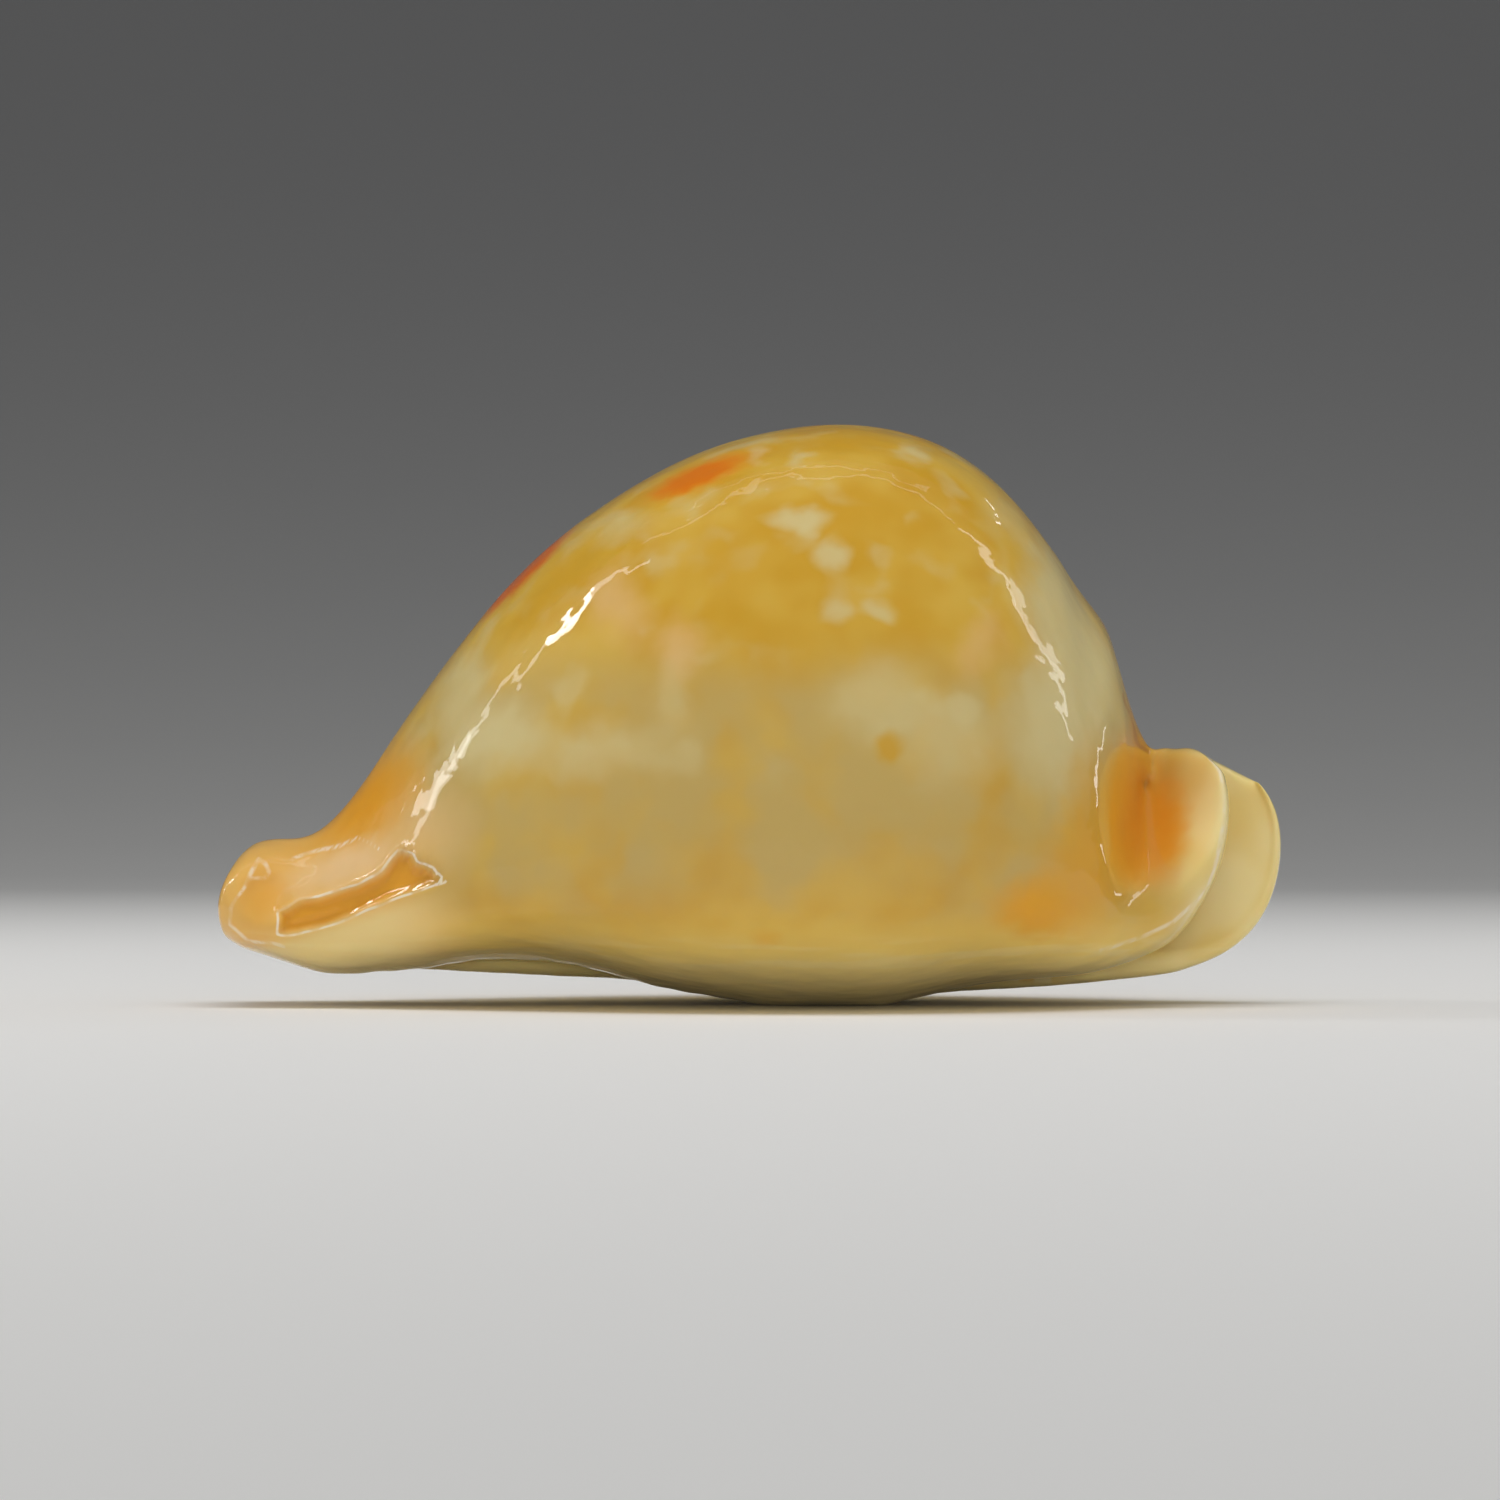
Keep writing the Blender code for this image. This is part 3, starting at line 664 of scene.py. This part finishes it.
def beak_groove(g, colour):
    """Deeper orange in the long groove and on the tip's hollow cheek, a blush over the groove."""
    blush = g.spot((-35.0, -9.0, 12.0), (5.2, 6.0, 1.6), 16.0, 0.8, 1.0, place=g.quiver)
    colour = g.over(colour, BLUSH_AND_SHEEN, blush)
    depth_in = g.attribute("groove")
    colour = g.over(colour, NECK_ORANGE, g.fade(depth_in, -0.1, 0.6, 0.0, 0.9))
    cheek = g.spot((-41.6, -6.0, 8.8), (2.3, 4.0, 2.6), 0.0, 0.6, 0.6, place=g.place)
    return g.over(colour, NECK_ORANGE, cheek)


def painted_highlight_lines(g, colour):
    """Painted highlights: thin broken cream lines round the groove, on the beak's tip and on the flange's
    edge.
    """
    broken = g.fade(g.cloud(1.5, 1.0, 0.4, seed=71.0), 0.38, 0.58, 0.2, 0.85)
    round_groove = g.fade(g.sum("ABSOLUTE", g.sum("ADD", g.attribute("groove"), 0.10)), 0.17, 0.03)
    on_line = g.fade(g.attribute("highlight_line_gap"), 0.28, 0.05, 0.0, 0.75)
    return g.over(colour, HIGHLIGHT_CREAM, g.sum("MULTIPLY", g.sum("MAXIMUM", round_groove, on_line), broken))


def lips_and_teeth(g, colour):
    """Cream along the slot's lips in faint layers, lighter as painted fill light, whiter teeth, and thin
    apricot lines between them.
    """
    low = g.fade(g.z, 5.5, 2.5)
    colour = g.over(colour, LIP_CREAM_AND_FILL, g.sum("MULTIPLY", low, 0.7))
    stretched = g.vector("MULTIPLY", g.place, (0.10, 0.25, 1.2))
    layers = g.fade(g.cloud(1.0, 1.0, 0.4, place=stretched, seed=61.0), 0.45, 0.65, 0.0, 0.45)
    colour = g.over(colour, LIP_CREAM_AND_FILL, g.sum("MULTIPLY", layers, g.fade(g.z, 7.0, 4.5)))
    turn = g.sum("MULTIPLY", g.sum("SUBTRACT", g.x, FIRST_TOOTH), math.tau / TOOTH_PITCH)
    crest = g.fade(g.sum("COSINE", turn), -0.55, 0.35)
    middle = g.sum("ABSOLUTE", g.sum("SUBTRACT", g.y, SLOT_MIDDLE))
    beside = g.sum("MULTIPLY", g.fade(middle, 4.5, 2.6), g.fade(g.z, 5.2, 3.6))
    ends = g.sum("MULTIPLY", g.fade(g.x, -38.0, -34.0), g.fade(g.x, 28.0, 24.0))
    shown = g.sum("MAXIMUM", g.fade(g.x, -7.0, -10.0), g.fade(g.x, 14.0, 17.0))
    plain = g.sum("MULTIPLY", shown, g.fade(g.y, 3.2, 4.2))
    beside = g.sum("MULTIPLY", beside, g.sum("SUBTRACT", 1.0, plain))
    teeth = g.over(APRICOT, TOOTH_WHITE, crest)
    return g.over(colour, teeth, g.sum("MULTIPLY", g.sum("MULTIPLY", beside, ends), 0.6))


def ripple_gloss(g):
    """Fine ripples in the glaze, calm in the pit."""
    bump = g.nodes.new("ShaderNodeBump")
    bump.inputs["Strength"].default_value = 1.0
    bump.inputs["Distance"].default_value = RIPPLE_DEPTH
    large = g.sum("SUBTRACT", g.cloud(LARGE_RIPPLE, 1.0, 0.4, seed=57.0), 0.5)
    small = g.sum("SUBTRACT", g.cloud(SMALL_RIPPLE, 1.0, 0.4, seed=53.0), 0.5)
    height = g.sum("MULTIPLY_ADD", small, SMALL_RIPPLE_SHARE, large)
    calm = g.spot((33.0, -6.0, 16.0), (7.5, 9.0, 9.5), 0.0, 0.2, 0.8, place=g.place)
    height = g.sum("MULTIPLY", height, g.sum("SUBTRACT", 1.0, calm))
    g.links.new(height, bump.inputs["Height"])
    g.links.new(bump.outputs["Normal"], g.shader.inputs["Normal"])
    g.links.new(bump.outputs["Normal"], g.shader.inputs["Coat Normal"])


def shell_glaze():
    g = Glaze("shell_enamel")
    g.wander(3.2, 1.1)
    colour = body_colour(g)
    colour = pale_clouds(g, colour)
    colour = warm_ends(g, colour)
    colour = rear_end(g, colour)
    colour = orange_marks(g, colour)
    colour = beak_groove(g, colour)
    colour = lips_and_teeth(g, colour)
    colour = painted_highlight_lines(g, colour)
    g.links.new(colour, g.shader.inputs["Base Color"])
    for name, value in ENAMEL.items():
        g.shader.inputs[name].default_value = value
    ripple_gloss(g)
    return g.material


def glazed_shell():
    body = merged_copy(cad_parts["shell"])
    lift_solid_groove(body)
    smooth_through_solid(body)
    polish(body)
    press_crisp_groove(body)
    raise_lines(body)
    wave_skin(body)
    keep_in_box(body)
    take_up(body)
    bpy.ops.object.shade_smooth()
    body.data.materials.append(shell_glaze())
    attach(body, "root")
    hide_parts("shell")
    return body


# The studio


def studio_paper():
    """Pale matt paper, a little greyer towards the back."""
    g = Glaze("studio_paper")
    tone = g.over(FLOOR_COLOUR, SWEEP_COLOUR, g.fade(g.y, DARKENS_FROM_MM, DARKENS_TO_MM))
    g.links.new(tone, g.shader.inputs["Base Color"])
    g.shader.inputs["Roughness"].default_value = 0.75
    g.shader.inputs["Specular IOR Level"].default_value = 0.15
    return g.material


def floor_and_sweep():
    """A pale floor that rises in one soft curve behind the shell."""
    deselect_all()
    bpy.ops.mesh.primitive_plane_add(size=1.0)
    floor = bpy.context.object
    floor.name = "floor"
    bpy.ops.object.mode_set(mode="EDIT")
    bpy.ops.mesh.select_all(action="SELECT")
    bpy.ops.transform.resize(value=(2 * FLOOR_HALF, FLOOR_HALF + BACKDROP_AT, 1.0))
    bpy.ops.transform.translate(value=(0.0, (BACKDROP_AT - FLOOR_HALF) / 2, -FLOOR_DROP))
    bpy.ops.mesh.select_all(action="DESELECT")
    bpy.ops.object.mode_set(mode="OBJECT")
    for v in floor.data.vertices:
        v.select = v.co.y > 0
    for e in floor.data.edges:
        e.select = all(floor.data.vertices[i].co.y > 0 for i in e.vertices)
    bpy.ops.object.mode_set(mode="EDIT")
    bpy.ops.mesh.select_mode(type="EDGE")
    bpy.ops.mesh.extrude_region_move(TRANSFORM_OT_translate={"value": (0.0, 0.0, BACKDROP_TOP)})
    bpy.ops.object.mode_set(mode="OBJECT")
    for e in floor.data.edges:
        ends = [floor.data.vertices[i].co for i in e.vertices]
        e.select = all(p.y > BACKDROP_AT - EDGE_SLACK and p.z < EDGE_SLACK for p in ends)
    for v in floor.data.vertices:
        v.select = v.co.y > BACKDROP_AT - EDGE_SLACK and v.co.z < EDGE_SLACK
    bpy.ops.object.mode_set(mode="EDIT")
    bpy.ops.mesh.bevel(offset=SWEEP, segments=24, profile=0.5)
    bpy.ops.object.mode_set(mode="OBJECT")
    bpy.ops.object.shade_smooth()
    floor.data.materials.append(studio_paper())


def panel(name, place, aim, width, height, glow, mirrored=True):
    """A flat light of an even glow. One that isn't mirrored leaves no patch in the glaze."""
    lamp = bpy.data.lights.new(name, "AREA")
    lamp.shape = "RECTANGLE"
    lamp.size = width
    lamp.size_y = height
    lamp.energy = glow * math.pi * width * height
    stand = bpy.data.objects.new(name, lamp)
    bpy.context.scene.collection.objects.link(stand)
    stand.location = place
    stand.rotation_euler = (Vector(aim) - Vector(place)).to_track_quat("-Z", "Y").to_euler()
    stand.visible_camera = False
    stand.visible_glossy = mirrored
    return stand


def studio_lights():
    """Soft light from overhead and from low in front, and bright strips that draw the streaks."""
    panel("overhead", (0.0, -0.12, 0.90), (0.0, -0.05, 0.0), 0.8, 0.5, 3.0, mirrored=False)
    panel("low_front", (0.0, -3.6, 0.17), (0.0, 0.0, 0.01), 3.4, 0.19, 10.0, mirrored=False)
    for name, place, aim_height, width, height, glow in STREAK_LIGHTS:
        panel(name, place, (0.0, 0.0, aim_height), width, height, glow)


def room():
    """Soft light from all round, brighter from the camera's side and near the horizon."""
    world = bpy.data.worlds.new("studio_room")
    world.use_nodes = True
    nodes, links = world.node_tree.nodes, world.node_tree.links
    towards = nodes.new("ShaderNodeTexCoord")
    parts = nodes.new("ShaderNodeSeparateXYZ")
    links.new(towards.outputs["Generated"], parts.inputs[0])

    def blend(socket, start, end, first, last):
        node = nodes.new("ShaderNodeMapRange")
        node.interpolation_type = "SMOOTHSTEP"
        for name, number in zip(("From Min", "From Max", "To Min", "To Max"), (start, end, first, last)):
            node.inputs[name].default_value = number
        links.new(socket, node.inputs["Value"])
        return node.outputs["Result"]

    both = nodes.new("ShaderNodeMath")
    both.operation = "MULTIPLY"
    links.new(blend(parts.outputs["Y"], *ROOM_TURN, ROOM_IN_FRONT, ROOM_BEHIND), both.inputs[0])
    links.new(blend(parts.outputs["Z"], 0.0, HORIZON_UP_TO, ROOM_HORIZON, 1.0), both.inputs[1])
    backdrop = nodes["Background"].inputs
    backdrop["Color"].default_value = (*ROOM_LIGHT, 1.0)
    links.new(both.outputs[0], backdrop["Strength"])
    bpy.context.scene.world = world


def camera():
    data = bpy.data.cameras.new("camera")
    data.lens = LENS
    data.sensor_width = SENSOR
    data.clip_start = 0.01
    data.clip_end = 20.0
    holder = bpy.data.objects.new("camera", data)
    bpy.context.scene.collection.objects.link(holder)
    holder.location = CAMERA_AIM + Vector((0.0, -CAMERA_AWAY, 0.0))
    holder.rotation_euler = (math.radians(90.0), 0.0, 0.0)
    bpy.context.scene.camera = holder


def colour_handling():
    view = bpy.context.scene.view_settings
    view.view_transform = "Standard"
    view.look = "None"
    view.exposure = 0.0
    view.gamma = 1.0


def write_sizes():
    def plain(box):
        return [[float(n) for n in corner] for corner in box]


camera()
room()
floor_and_sweep()
studio_lights()
glazed_shell()
colour_handling()
write_sizes()
